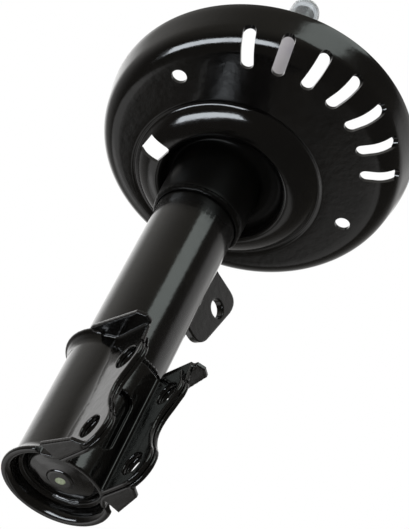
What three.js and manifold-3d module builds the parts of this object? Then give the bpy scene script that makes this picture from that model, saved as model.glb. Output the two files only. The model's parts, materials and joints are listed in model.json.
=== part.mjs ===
// A MacPherson strut damper: a twin-tube damper body with a knuckle clamp at its
// lower end, an offset spring seat, a brake hose tab, and a chromed rod that slides
// and turns in the body. Millimetres, +Z up along the damper's axis towards the rod,
// +X the way the clamp's ears point. Heights are taken above the clamp's lower edge,
// and the finished group is shifted so that the base cap's flat centre is at zero.

import * as THREE from 'three';
import * as BufferGeometryUtils from 'three/addons/utils/BufferGeometryUtils.js';
import Module from 'manifold-3d';

const wasm = await Module();
wasm.setup();

// ---- driving dimensions ----
const GAP = 0.3;                    // left between pieces that rest on each other
const TURN_GAP = 0.15;              // radial running clearance
const ROUND = 24;                   // sides on the larger turned pieces
const SMALL_ROUND = 18;             // sides on the small ones

const CAP_FACE_HEIGHT = 5.6;        // base cap's flat centre above the clamp's lower edge

const TUBE_RADIUS = 25.5;
const TUBE_WALL = 2.5;
const TUBE_BOTTOM = 9;
const TUBE_TOP = 326;
const TUBE_LIP_RADIUS = 17;         // inside radius of the rolled top

const CLAMP_SHEET = 2.7;
const CLAMP_HEIGHT = 89.7;
const LIP_RADIUS = 32.5;            // flared lips round the wrap
const LIP_HEIGHT = 5;
const EAR_FACE = 18.6;              // outer face of each ear from the middle plane
const EAR_FILLET = 9;
const BOLT_X = 43;
const BOLT_HEIGHTS = [14.5, 64.5];
const BOLT_HOLE_RADIUS = 7.25;
const INNER_CLAMP_TOP = 81.5;
const WEB_WINDOW = { y: -1, width: 12.5, bottom: 20, top: 58 };

const SEAT_SHEET = 2.6;
const SEAT_TILT = new THREE.Vector3(-0.1546, -0.0173, 0.9878).normalize();
const DISH_CENTRE = new THREE.Vector3(21.2, 2.5, 257.5);
const RING_CENTRE = new THREE.Vector2(2, 4.2);
const DISH_FLAT_RADIUS = 81;
const DISH_BEND_RADIUS = 14;
const DISH_WALL_ANGLE = THREE.MathUtils.degToRad(78);
const DISH_HEIGHT = 25.5;
const COLLAR_BOTTOM = 216;
const SLOT_COUNT = 7;
const SLOT_STEP = THREE.MathUtils.degToRad(14.5);
const SLOT_FIRST_AZIMUTH = THREE.MathUtils.degToRad(-45);
const SLOT_WIDTH = 8;
const SLOT_INNER_RADIUS = 71.5;
const SLOT_BEND_RADIUS = 92;        // where a slot turns up the pan's wall
const SLOT_TOP = 12;                // its end on the wall, above the base plane
const SEAT_HOLE_RADIUS = 4.8;

const TAB_AZIMUTH = THREE.MathUtils.degToRad(106);
const TAB_THICKNESS = 5;
const TAB_HOLE = { out: 45.7, height: 182.3, radius: 6 };

const CYLINDER_RADIUS = 15;         // bore of the inner pressure tube
const CYLINDER_WALL = 1.5;
const CYLINDER_BOTTOM = 20.3;
const CYLINDER_TOP = 310;

const ROD_RADIUS = 10;
const ROD_SHOULDER = 405;           // where a top mount seats
const THREAD_RADIUS = 7;
const ROD_TOP = 428;
const PISTON_HEIGHT = 150;          // upper face of the piston at rest
const SPIGOT_RADIUS = 6;

// ---- materials ----
const paint = () => new THREE.MeshStandardMaterial({ color: 0x141415, roughness: 0.2, metalness: 0.1 });
const steel = () => new THREE.MeshStandardMaterial({ color: 0x9a9ca0, roughness: 0.35, metalness: 1 });
const chrome = () => new THREE.MeshStandardMaterial({ color: 0xd8d6dc, roughness: 0.08, metalness: 1 });
const iron = () => new THREE.MeshStandardMaterial({ color: 0x5f6063, roughness: 0.55, metalness: 0.9 });
const spring = () => new THREE.MeshStandardMaterial({ color: 0x4a5470, roughness: 0.3, metalness: 1 });
const bronze = () => new THREE.MeshStandardMaterial({ color: 0x9a7340, roughness: 0.4, metalness: 1 });
const rubber = () => new THREE.MeshStandardMaterial({ color: 0x1b1b1b, roughness: 0.8, metalness: 0 });
const fluoro = () => new THREE.MeshStandardMaterial({ color: 0x3a2f28, roughness: 0.5, metalness: 0 });
const clearPlastic = () => new THREE.MeshStandardMaterial({ color: 0xe4e9ee, roughness: 0.25, metalness: 0 });

// ---- solids and booleans ----
function toManifold(geometry) {
  const plain = geometry.clone();
  plain.deleteAttribute('normal');
  plain.deleteAttribute('uv');
  const merged = BufferGeometryUtils.mergeVertices(plain, 1e-4);
  const vertProperties = new Float32Array(merged.attributes.position.array);
  const triVerts = new Uint32Array(merged.index.array);
  return new wasm.Manifold(new wasm.Mesh({ numProp: 3, vertProperties, triVerts }));
}

function toGeometry(solid) {
  const mesh = solid.getMesh();
  const geometry = new THREE.BufferGeometry();
  geometry.setAttribute('position', new THREE.BufferAttribute(new Float32Array(mesh.vertProperties), 3));
  geometry.setIndex(new THREE.BufferAttribute(new Uint32Array(mesh.triVerts), 1));
  geometry.computeVertexNormals();
  return geometry;
}

function cut(geometry, ...tools) {
  return toGeometry(tools.reduce((solid, tool) => solid.subtract(toManifold(tool)), toManifold(geometry)));
}

function join(geometry, ...others) {
  return toGeometry(others.reduce((solid, other) => solid.add(toManifold(other)), toManifold(geometry)));
}

// A turned piece from [radius, height] pairs that run round its section with the
// material on their left; a closed ring repeats its first pair.
function turned(pairs, sides = ROUND) {
  const points = pairs.map(([radius, height]) => new THREE.Vector2(radius, height));
  const onAxis = pairs[0][0] === 0 && pairs.at(-1)[0] === 0;
  if (!onAxis) points.push(points[0].clone());
  const geometry = new THREE.LatheGeometry(points, sides);
  geometry.rotateX(Math.PI / 2);
  return geometry;
}

function ring(inner, outer, bottom, top, sides = ROUND) {
  return turned([[inner, bottom], [outer, bottom], [outer, top], [inner, top]], sides);
}

function pillar(radius, height, sides, x, y, bottom) {
  const geometry = new THREE.CylinderGeometry(radius, radius, height, sides);
  geometry.rotateX(Math.PI / 2);
  geometry.translate(x, y, bottom + height / 2);
  return geometry;
}

function block(low, high) {
  const size = high.map((value, axis) => value - low[axis]);
  const geometry = new THREE.BoxGeometry(...size);
  geometry.translate(...high.map((value, axis) => (value + low[axis]) / 2));
  return geometry;
}

// A bead or rim: a section swept along an arc about the damper's axis.
function arcBead(radius, height, size, from, to, sides = 3) {
  const section = new THREE.Shape().absarc(0, 0, size, 0, 2 * Math.PI);
  const points = [];
  const steps = 14;
  for (let i = 0; i <= steps; i++) {
    const turn = from + (to - from) * i / steps;
    points.push(new THREE.Vector3(radius * Math.cos(turn), radius * Math.sin(turn), height));
  }
  const path = new THREE.CatmullRomCurve3(points);
  return new THREE.ExtrudeGeometry(section, { steps, curveSegments: sides, extrudePath: path });
}

const strut = new THREE.Group();
const damperBody = new THREE.Group();
const rodGroup = new THREE.Group();
strut.add(damperBody, rodGroup);

function addNode(group, name, geometry, material) {
  const mesh = new THREE.Mesh(geometry, material);
  mesh.name = name;
  group.add(mesh);
}

// ---- damper body: tubes and ends ----
function makeReserveTube() {
  const inside = TUBE_RADIUS - TUBE_WALL;
  return turned([
    [inside, TUBE_BOTTOM], [TUBE_RADIUS, TUBE_BOTTOM], [TUBE_RADIUS, TUBE_TOP - 3],
    [TUBE_RADIUS - 0.9, TUBE_TOP - 0.9], [TUBE_RADIUS - 3, TUBE_TOP], [TUBE_LIP_RADIUS, TUBE_TOP],
    [TUBE_LIP_RADIUS, TUBE_TOP - TUBE_WALL], [inside, TUBE_TOP - TUBE_WALL],
  ]);
}

function makeBaseCap() {
  return turned([
    [0, CAP_FACE_HEIGHT], [6.5, CAP_FACE_HEIGHT], [7.7, 6.3], [13, 7.2], [17.4, 9], [18.6, 10.4],
    [19, 13.6], [20.1, 14.6], [21.2, 13.6], [21.4, 10], [22.7, 10], [22.7, 17], [20.4, 17.2],
    [17.3, 15.6], [16.6, 11.8], [12, 10], [0, 8.6],
  ]);
}

function makeBaseWeld() {
  return turned([[21.6, 8.2], [22.4, 6.9], [23.9, 6.6], [25.1, 7.4], [25.2, 8.7], [22.9, 8.7], [22, 9.4]]);
}

function makeBumpPlate() {
  const skirt = TUBE_RADIUS + GAP;
  return turned([
    [skirt, TUBE_TOP - 15], [skirt + 2, TUBE_TOP - 15], [skirt + 2, TUBE_TOP + 1.6],
    [skirt + 0.8, TUBE_TOP + 2.8], [13, TUBE_TOP + 2.8], [11.6, TUBE_TOP + 1.6],
    [11.6, TUBE_TOP + GAP], [skirt, TUBE_TOP + GAP],
  ]);
}

function makePressureTube() {
  return ring(CYLINDER_RADIUS, CYLINDER_RADIUS + CYLINDER_WALL, CYLINDER_BOTTOM, CYLINDER_TOP);
}

addNode(damperBody, 'reserve_tube', makeReserveTube(), paint());
addNode(damperBody, 'base_cap', makeBaseCap(), paint());
addNode(damperBody, 'base_weld', makeBaseWeld(), paint());
addNode(damperBody, 'bump_plate', makeBumpPlate(), paint());
addNode(damperBody, 'pressure_tube', makePressureTube(), steel());

// ---- damper body: rod guide and seal ----
function makeRodGuide() {
  const seat = CYLINDER_TOP + GAP;
  const bore = ROD_RADIUS + 1.6;
  return turned([
    [bore, seat - 8.3], [CYLINDER_RADIUS - GAP, seat - 8.3], [CYLINDER_RADIUS - GAP, seat],
    [TUBE_RADIUS - TUBE_WALL - GAP, seat], [TUBE_RADIUS - TUBE_WALL - GAP, seat + 8], [bore, seat + 8],
  ]);
}

const guideTop = CYLINDER_TOP + GAP + 8;
const tubeLipUnderside = TUBE_TOP - TUBE_WALL;
addNode(damperBody, 'rod_guide', makeRodGuide(), iron());
addNode(damperBody, 'guide_bush',
  ring(ROD_RADIUS + TURN_GAP, ROD_RADIUS + 1.3, guideTop - 14, guideTop - 1), bronze());
addNode(damperBody, 'rod_seal', turned([
  [ROD_RADIUS + TURN_GAP, guideTop + GAP], [15.6, guideTop + GAP], [15.6, guideTop + 4.2],
  [11.6, guideTop + 4.2], [10.9, guideTop + 2.4], [ROD_RADIUS + TURN_GAP, guideTop + 1.4],
]), rubber());
addNode(damperBody, 'seal_washer',
  ring(15.9, TUBE_RADIUS - TUBE_WALL - GAP, guideTop + GAP, tubeLipUnderside - GAP), steel());

// ---- damper body: base valve ----
function makeBaseValveBody() {
  const body = turned([
    [3.2, 18.4], [13, 18.4], [14, 17.6], [16.8, 16.2], [18.9, 17.6], [18.9, 20],
    [CYLINDER_RADIUS - GAP, 20], [CYLINDER_RADIUS - GAP, 27], [3.2, 27],
  ]);
  const ports = [];
  for (let i = 0; i < 6; i++) {
    const turn = i * Math.PI / 3;
    ports.push(pillar(1.4, 14, 8, 8.6 * Math.cos(turn), 8.6 * Math.sin(turn), 15));
  }
  return cut(body, ...ports);
}

function makeBaseValveRivet() {
  return turned([
    [0, 15.6], [4.6, 15.6], [5.2, 16.2], [5.2, 17], [2.9, 17.1], [2.9, 30.6],
    [5, 30.7], [5, 31.6], [4, 32.4], [0, 32.4],
  ], SMALL_ROUND);
}

addNode(damperBody, 'base_valve_body', makeBaseValveBody(), iron());
addNode(damperBody, 'base_valve_rivet', makeBaseValveRivet(), steel());
addNode(damperBody, 'base_blowoff_disc', ring(3.4, 6.6, 17.3, 18.1, SMALL_ROUND), spring());
addNode(damperBody, 'base_check_plate', ring(3.4, 12.4, 27.3, 28.1, SMALL_ROUND), spring());
addNode(damperBody, 'base_check_spring', ring(3.4, 7.6, 29.5, 30.3, SMALL_ROUND), spring());

// ---- knuckle clamp ----
// The wrap's outline seen from above: a circle about the tube that runs into two
// parallel sides through hollow fillets, out to endX.
function clampOutline(circle, side, fillet, endX) {
  const centreY = side + fillet;
  const centreX = Math.sqrt((circle + fillet) ** 2 - centreY ** 2);
  const onCircle = Math.atan2(centreY, centreX);
  const shape = new THREE.Shape();
  shape.moveTo(endX, -side);
  shape.lineTo(endX, side);
  shape.lineTo(centreX, side);
  shape.absarc(centreX, centreY, fillet, -Math.PI / 2, onCircle - Math.PI, true);
  shape.absarc(0, 0, circle, onCircle, 2 * Math.PI - onCircle, false);
  shape.absarc(centreX, -centreY, fillet, Math.PI - onCircle, Math.PI / 2, true);
  return shape;
}

function upright(shape, bottom, top, curveSegments = 8) {
  const geometry = new THREE.ExtrudeGeometry(shape, { depth: top - bottom, bevelEnabled: false, curveSegments });
  geometry.translate(0, 0, bottom);
  return geometry;
}

// An ear's outline in X and height: two round lobes about the bolt holes with a
// waist between them. inset pulls the free edge in.
function earOutline(startX, bottom, top, inset = 0) {
  const [lowHole, highHole] = BOLT_HEIGHTS;
  const lobe = 14.5 - inset;
  const shape = new THREE.Shape();
  shape.moveTo(startX, bottom);
  shape.lineTo(BOLT_X, bottom);
  shape.absarc(BOLT_X, lowHole, lobe, -Math.PI / 2, 0.75, false);
  shape.quadraticCurveTo(46.5 - inset, 33, 46.2 - inset, 41);
  shape.quadraticCurveTo(46 - inset, 47, 50 - inset, 54.5);
  shape.absarc(BOLT_X - 1.5, highHole + 2, lobe - 2, -0.55, 0.75, false);
  shape.lineTo(47.5 - inset, top);
  shape.lineTo(startX, top);
  return shape;
}

// A plate standing in the XZ plane between two Y values.
function standingPlate(shape, yFrom, yTo, curveSegments = 6) {
  const depth = yTo - yFrom;
  const geometry = new THREE.ExtrudeGeometry(shape, { depth, bevelEnabled: false, curveSegments });
  geometry.rotateX(Math.PI / 2);
  geometry.translate(0, yTo, 0);
  return geometry;
}

function boltDrills() {
  return BOLT_HEIGHTS.map((height) => {
    const drill = new THREE.CylinderGeometry(BOLT_HOLE_RADIUS, BOLT_HOLE_RADIUS, 80, 16);
    drill.translate(BOLT_X, 0, height);
    return drill;
  });
}

// The flanges bent outward at an ear's top and bottom edges, seen from above.
function flangeOutline(side, startX, endX, startY, endY) {
  const shape = new THREE.Shape();
  shape.moveTo(startX, side * (EAR_FACE - 1));
  shape.lineTo(endX + 2, side * (EAR_FACE - 1));
  shape.lineTo(endX + 3.5, side * (endY - 5));
  shape.lineTo(endX, side * endY);
  shape.lineTo(startX, side * startY);
  return shape;
}

function makeOuterClamp() {
  const inside = TUBE_RADIUS + GAP;
  const outside = inside + CLAMP_SHEET;
  const earInside = EAR_FACE - CLAMP_SHEET;
  const endX = 70;
  const shell = cut(
    upright(clampOutline(outside, EAR_FACE, EAR_FILLET, endX), 0, CLAMP_HEIGHT, 12),
    upright(clampOutline(inside, earInside, EAR_FILLET + CLAMP_SHEET, endX + 1), -1, CLAMP_HEIGHT + 1, 12),
  );
  const free = 24;
  const lipEndX = 15.5;
  const keep = join(
    block([-40, -40, LIP_HEIGHT + 1], [lipEndX, 40, CLAMP_HEIGHT - LIP_HEIGHT - 1]),
    block([lipEndX - 0.5, -40, 0], [free, 40, CLAMP_HEIGHT]),
    standingPlate(earOutline(free - 1, 0, CLAMP_HEIGHT), -EAR_FACE - 1, EAR_FACE + 1),
  );
  let clamp = toManifold(shell).intersect(toManifold(keep));

  // flared lips round the wrap, and the flanges that carry them on along the ears
  const lipInner = inside + CLAMP_SHEET / 2;
  const lip = (face) => turned([
    ...face, [LIP_RADIUS, 2.4], [LIP_RADIUS - 1.6, 2.9], [outside + 0.6, LIP_HEIGHT + 1],
    [outside, LIP_HEIGHT + 3], [lipInner, LIP_HEIGHT + 3],
  ]);
  const lower = lip([
    [lipInner, 2.8], [LIP_RADIUS - 4, 0.6], [LIP_RADIUS - 3, 0], [LIP_RADIUS - 0.7, 0], [LIP_RADIUS, 0.7],
  ]);
  const upper = lip([
    [lipInner, LIP_HEIGHT], [LIP_RADIUS - 2.6, 0.8], [LIP_RADIUS - 1.2, 0], [LIP_RADIUS, 0.6],
  ]);
  upper.rotateX(Math.PI);
  upper.translate(0, 0, CLAMP_HEIGHT);
  const lipEnd = block([-40, -40, -1], [lipEndX, 40, CLAMP_HEIGHT + 1]);
  const lips = toManifold(lower).add(toManifold(upper)).intersect(toManifold(lipEnd));
  clamp = clamp.add(lips);
  for (const side of [-1, 1]) {
    const low = upright(flangeOutline(side, 21.5, 43, 29.5, 24.5), 0, CLAMP_SHEET);
    const high = upright(
      flangeOutline(side, 12, 49, 32.3, 28), CLAMP_HEIGHT - CLAMP_SHEET, CLAMP_HEIGHT);
    clamp = clamp.add(toManifold(low)).add(toManifold(high));
  }
  const bore = pillar(inside, CLAMP_HEIGHT + 10, ROUND, 0, 0, -5);
  const drills = [bore, ...boltDrills()].map(toManifold);
  return toGeometry(drills.reduce((solid, drill) => solid.subtract(drill), clamp));
}

function makeInnerClamp() {
  const faceOut = EAR_FACE - CLAMP_SHEET - GAP;
  const faceIn = faceOut - CLAMP_SHEET;
  const webBack = TUBE_RADIUS + 0.6;
  const webFront = webBack + CLAMP_SHEET;
  const backTurn = Math.asin(faceOut / webBack);
  const flatFrom = webFront + 1.4;    // where the ears' flat inner faces start
  const cornerTurn = 0.27;
  const corner = { x: webFront * Math.cos(cornerTurn), y: webFront * Math.sin(cornerTurn) };
  const pull = corner.x - (faceIn - corner.y) * Math.tan(cornerTurn);
  const channel = new THREE.Shape();
  channel.moveTo(70, -faceOut);
  channel.lineTo(70, -faceIn);
  channel.lineTo(flatFrom, -faceIn);
  channel.quadraticCurveTo(pull, -faceIn, corner.x, -corner.y);
  channel.absarc(0, 0, webFront, -cornerTurn, cornerTurn, false);
  channel.quadraticCurveTo(pull, faceIn, flatFrom, faceIn);
  channel.lineTo(70, faceIn);
  channel.lineTo(70, faceOut);
  channel.absarc(0, 0, webBack, backTurn, -backTurn, true);
  const body = toManifold(upright(channel, 0.4, INNER_CLAMP_TOP, 5));
  const outline = toManifold(standingPlate(earOutline(20, 0.4, INNER_CLAMP_TOP, 0.5), -30, 30));
  const { y, width, bottom, top } = WEB_WINDOW;
  const half = width / 2;
  const window = join(
    block([20, y - half, bottom + half], [34, y + half, top - half]),
    pillarX(half, y, bottom + half), pillarX(half, y, top - half),
  );
  let clamp = body.intersect(outline).subtract(toManifold(window));
  for (const drill of boltDrills()) clamp = clamp.subtract(toManifold(drill));
  return toGeometry(clamp);
}

function pillarX(radius, y, height) {
  const geometry = new THREE.CylinderGeometry(radius, radius, 14, 16);
  geometry.rotateZ(Math.PI / 2);
  geometry.translate(27, y, height);
  return geometry;
}

addNode(damperBody, 'clamp_outer', makeOuterClamp(), paint());
addNode(damperBody, 'clamp_inner', makeInnerClamp(), paint());
addNode(damperBody, 'clamp_weld_upper',
  arcBead(TUBE_RADIUS + 1.8, CLAMP_HEIGHT - 1.5, 1.4, Math.PI * 0.55, Math.PI * 1.45), paint());
addNode(damperBody, 'clamp_weld_web',
  arcBead(TUBE_RADIUS + 2.1, INNER_CLAMP_TOP + 2, 1.6, -0.42, 0.42), paint());

// ---- spring seat ----
// Stations of the pan's lower face, from the collar out to the rim: radius, centre,
// height above the tilted base plane, and how much of the plane's tilt applies.
function seatStations() {
  const axis = new THREE.Vector2(0, 0);
  const dish = new THREE.Vector2(DISH_CENTRE.x, DISH_CENTRE.y);
  const station = (radius, centre, height, tilt) => ({ radius, centre, height, tilt });
  const between = (amount) => axis.clone().lerp(RING_CENTRE, amount);
  const drop = COLLAR_BOTTOM - planeHeight(0, 0);
  const stations = [
    station(28.4, axis, drop, 0), station(28.6, axis, -16, 0.6), station(28.9, axis, -7, 1),
    station(29.8, between(0.2), -3.6, 1), station(32, between(0.55), -1.8, 1),
    station(34.4, between(0.95), -1.6, 1), station(36.6, between(1), -2.9, 1),
    station(38.4, between(1), -5.9, 1), station(40.4, between(1), -8.2, 1), station(43, between(1), -8.5, 1),
    station(47, between(1), -7.4, 1), station(51, between(1), -5.4, 1), station(54.4, between(1), -3.1, 1),
    station(57, between(1), -0.3, 1), station(58.6, between(1), 0.5, 1), station(60.4, between(1), 0, 1),
  ];
  const arcSteps = 5;
  for (let i = 0; i <= arcSteps; i++) {
    const angle = DISH_WALL_ANGLE * i / arcSteps;
    const radius = DISH_FLAT_RADIUS + DISH_BEND_RADIUS * Math.sin(angle);
    stations.push(station(radius, dish, DISH_BEND_RADIUS * (1 - Math.cos(angle)), 1));
  }
  const last = stations.at(-1);
  const rise = DISH_HEIGHT - last.height;
  stations.push(station(last.radius + rise / Math.tan(DISH_WALL_ANGLE), dish, DISH_HEIGHT, 1));
  return stations;
}

function planeHeight(x, y) {
  const dx = x - DISH_CENTRE.x;
  const dy = y - DISH_CENTRE.y;
  return DISH_CENTRE.z - (SEAT_TILT.x * dx + SEAT_TILT.y * dy) / SEAT_TILT.z;
}

function stationPoint({ radius, centre, height, tilt }, turn) {
  const x = centre.x + radius * Math.cos(turn);
  const y = centre.y + radius * Math.sin(turn);
  const plane = THREE.MathUtils.lerp(planeHeight(0, 0), planeHeight(x, y), tilt);
  return new THREE.Vector3(x, y, plane + height);
}

// A closed solid from one section loop per step round the axis.
function ringLoft(sections) {
  const perLoop = sections[0].length;
  const index = [];
  sections.forEach((loop, i) => {
    const next = (i + 1) % sections.length;
    for (let k = 0; k < perLoop; k++) {
      const kNext = (k + 1) % perLoop;
      const [a, b] = [i * perLoop + k, i * perLoop + kNext];
      const [c, d] = [next * perLoop + k, next * perLoop + kNext];
      index.push(a, c, b, b, c, d);
    }
  });
  const positions = sections.flat().flatMap((point) => point.toArray());
  const geometry = new THREE.BufferGeometry();
  geometry.setAttribute('position', new THREE.Float32BufferAttribute(positions, 3));
  geometry.setIndex(index);
  return geometry;
}

function seatSection(stations, turn) {
  const lower = stations.map((station) => stationPoint(station, turn));
  const around = new THREE.Vector3(-Math.sin(turn), Math.cos(turn), 0);
  const upper = lower.map((point, k) => {
    const before = lower[Math.max(k - 1, 0)];
    const after = lower[Math.min(k + 1, lower.length - 1)];
    const along = after.clone().sub(before).normalize();
    return point.clone().addScaledVector(along.cross(around), SEAT_SHEET);
  });
  return [...lower, ...upper.reverse()];
}

function dishMatrix() {
  const up = SEAT_TILT;
  const forward = new THREE.Vector3(1, 0, 0).addScaledVector(up, -up.x).normalize();
  const left = up.clone().cross(forward);
  return new THREE.Matrix4().makeBasis(forward, left, up).setPosition(DISH_CENTRE);
}

// A slot pierced through the base plane, and the radial punch that carries it on up
// the wall. Both lie along X in the dish's own axes.
function slotPunches() {
  const half = SLOT_WIDTH / 2;
  const floor = new THREE.Shape();
  floor.moveTo(SLOT_BEND_RADIUS, -half);
  floor.lineTo(SLOT_BEND_RADIUS, half);
  floor.absarc(SLOT_INNER_RADIUS + half, 0, half, Math.PI / 2, 1.5 * Math.PI, false);
  const wall = new THREE.Shape();
  wall.moveTo(-half, -9);
  wall.lineTo(half, -9);
  wall.absarc(0, SLOT_TOP - half, half, 0, Math.PI, false);
  const punch = new THREE.ExtrudeGeometry(wall, { depth: 26.5, bevelEnabled: false, curveSegments: 5 });
  punch.rotateX(Math.PI / 2).rotateZ(Math.PI / 2).translate(SLOT_BEND_RADIUS - 4.5, 0, 0);
  return [upright(floor, -12, 24, 4), punch];
}

function makeSpringSeat() {
  const segments = 36;
  const stations = seatStations();
  const sections = [];
  for (let i = 0; i < segments; i++) sections.push(seatSection(stations, 2 * Math.PI * i / segments));
  const pan = ringLoft(sections);

  const tools = [];
  for (let i = 0; i < SLOT_COUNT; i++) {
    const turn = SLOT_FIRST_AZIMUTH + SLOT_STEP * i;
    tools.push(...slotPunches().map((punch) => punch.rotateZ(turn)));
  }
  for (const degrees of [-80, 75]) {
    const turn = THREE.MathUtils.degToRad(degrees);
    tools.push(pillar(SEAT_HOLE_RADIUS, 30, 14, 72.5 * Math.cos(turn), 72.5 * Math.sin(turn), -15));
  }
  const skewed = new THREE.Shape();
  skewed.moveTo(-47.1, -48.5);
  skewed.lineTo(-31.3, -52.2);
  skewed.lineTo(-26.6, -42);
  skewed.quadraticCurveTo(-25.6, -38.8, -29, -38.4);
  skewed.lineTo(-40.3, -37.5);
  tools.push(upright(skewed, -18, 24, 4));
  const place = dishMatrix();
  return cut(pan, ...tools.map((tool) => tool.applyMatrix4(place)));
}

addNode(damperBody, 'spring_seat', makeSpringSeat(), paint());
addNode(damperBody, 'seat_weld', turned([
  [TUBE_RADIUS + GAP, COLLAR_BOTTOM - 3.4], [TUBE_RADIUS + 1.6, COLLAR_BOTTOM - 3],
  [TUBE_RADIUS + 2.9, COLLAR_BOTTOM - 1.6], [TUBE_RADIUS + 3, COLLAR_BOTTOM - GAP],
  [TUBE_RADIUS + GAP, COLLAR_BOTTOM - GAP],
]), paint());

// ---- brake hose tab ----
function makeHoseTab() {
  const root = TUBE_RADIUS + 1;
  const shape = new THREE.Shape();
  shape.moveTo(root, 153);
  shape.lineTo(33, 151.6);
  shape.lineTo(39, 151);
  shape.quadraticCurveTo(46.5, 151.2, 49.6, 159);
  shape.lineTo(57.4, 190);
  shape.quadraticCurveTo(59, 201, 50, 201.4);
  shape.lineTo(root, 202);
  const plate = standingPlate(shape, -TAB_THICKNESS / 2, TAB_THICKNESS / 2);
  const drill = new THREE.CylinderGeometry(TAB_HOLE.radius, TAB_HOLE.radius, 12, 16);
  drill.translate(TAB_HOLE.out, 0, TAB_HOLE.height);
  const tab = cut(plate, drill);
  return tab.rotateZ(TAB_AZIMUTH);
}

function makeTabWeld(bottom, top) {
  const bead = pillar(1.9, top - bottom, 10, TUBE_RADIUS + 2.3, 0, bottom);
  return bead.rotateZ(TAB_AZIMUTH);
}

addNode(damperBody, 'hose_tab', makeHoseTab(), paint());
addNode(damperBody, 'tab_weld_upper', makeTabWeld(202.3, 207), paint());
addNode(damperBody, 'tab_weld_lower', makeTabWeld(147, 151), paint());

// ---- rod, piston and what rides on them ----
function makePistonRod() {
  return turned([
    [0, 124], [5, 124], [SPIGOT_RADIUS, 125], [SPIGOT_RADIUS, 156], [ROD_RADIUS - 0.6, 156],
    [ROD_RADIUS, 156.6], [ROD_RADIUS, ROD_SHOULDER - 0.5], [ROD_RADIUS - 0.5, ROD_SHOULDER],
    [THREAD_RADIUS, ROD_SHOULDER], [THREAD_RADIUS, ROD_TOP - 1.5], [THREAD_RADIUS - 1.5, ROD_TOP], [0, ROD_TOP],
  ]);
}

function makePiston() {
  const bottom = PISTON_HEIGHT - 10;
  const body = turned([
    [6.3, bottom], [14.4, bottom], [14.4, bottom + 1], [13.2, bottom + 1],
    [13.2, PISTON_HEIGHT - 1], [14.4, PISTON_HEIGHT - 1], [14.4, PISTON_HEIGHT], [6.3, PISTON_HEIGHT],
  ]);
  const ports = [];
  for (let i = 0; i < 6; i++) {
    const turn = (i + 0.5) * Math.PI / 3;
    ports.push(pillar(1.2, 14, 8, 9.4 * Math.cos(turn), 9.4 * Math.sin(turn), bottom - 2));
  }
  return cut(body, ...ports);
}

function makePistonNut() {
  const shape = new THREE.Shape();
  const corner = 9.8;
  for (let i = 0; i < 6; i++) {
    const turn = i * Math.PI / 3;
    const draw = i === 0 ? 'moveTo' : 'lineTo';
    shape[draw](corner * Math.cos(turn), corner * Math.sin(turn));
  }
  const nut = upright(shape, 126, 135.6);
  return cut(nut, pillar(6.3, 20, 24, 0, 0, 120));
}

function makeRodEndCap() {
  const outer = 10.4;
  const inner = 8.9;
  const domeBase = 427;
  const bottom = ROD_SHOULDER + 2.4;
  const pairs = [[7.3, bottom], [outer, bottom], [outer, domeBase]];
  const steps = 5;
  for (let i = 1; i <= steps; i++) {
    const angle = Math.PI / 2 * i / steps;
    pairs.push([outer * Math.cos(angle), domeBase + outer * Math.sin(angle)]);
  }
  pairs[pairs.length - 1][0] = 0;
  for (let i = steps; i >= 0; i--) {
    const angle = Math.PI / 2 * i / steps;
    pairs.push([inner * Math.cos(angle), domeBase + inner * Math.sin(angle)]);
  }
  pairs[3 + steps][0] = 0;
  pairs.push([inner, bottom + 4], [7.3, bottom + 4]);
  return turned(pairs, SMALL_ROUND);
}

addNode(rodGroup, 'piston_rod', makePistonRod(), chrome());
addNode(rodGroup, 'rod_end_cap', makeRodEndCap(), clearPlastic());
addNode(rodGroup, 'piston', makePiston(), iron());
addNode(rodGroup, 'piston_band', ring(13.45, 14.85, 141.3, 148.7), fluoro());
addNode(rodGroup, 'piston_nut', makePistonNut(), steel());
addNode(rodGroup, 'piston_valve_discs', ring(6.3, 11.4, 136, 139.7, SMALL_ROUND), spring());
addNode(rodGroup, 'piston_check_plate', ring(6.4, 12.2, 150.3, 151.1, SMALL_ROUND), spring());
addNode(rodGroup, 'piston_check_spring', ring(6.3, 8.8, 152.4, 153.2, SMALL_ROUND), spring());
addNode(rodGroup, 'piston_washer', ring(6.3, 10.5, 153.5, 155.7, SMALL_ROUND), steel());
addNode(rodGroup, 'rebound_stop', ring(ROD_RADIUS + GAP, 13.4, 216, 219, SMALL_ROUND), steel());
addNode(rodGroup, 'rebound_bumper', turned([
  [ROD_RADIUS + GAP, 219.3], [13.2, 219.3], [14, 221], [14, 224.6], [12.8, 226.6], [ROD_RADIUS + GAP, 226.6],
], SMALL_ROUND), rubber());

strut.position.z = -CAP_FACE_HEIGHT;

export default strut;
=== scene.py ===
"""Looks for a suspension strut: a gloss black twin-tube damper with a knuckle clamp,
an offset dished spring seat, a brake hose tab and a chromed rod under a clear cap.

Shapes are written in millimetres, with heights above the clamp's lower edge, and
to_frame() turns them into the row frame, in metres, whose origin is the middle of
the base cap's flat face.
"""

import json
import math

import bmesh
import bpy
from mathutils import Matrix, Vector, noise


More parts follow.
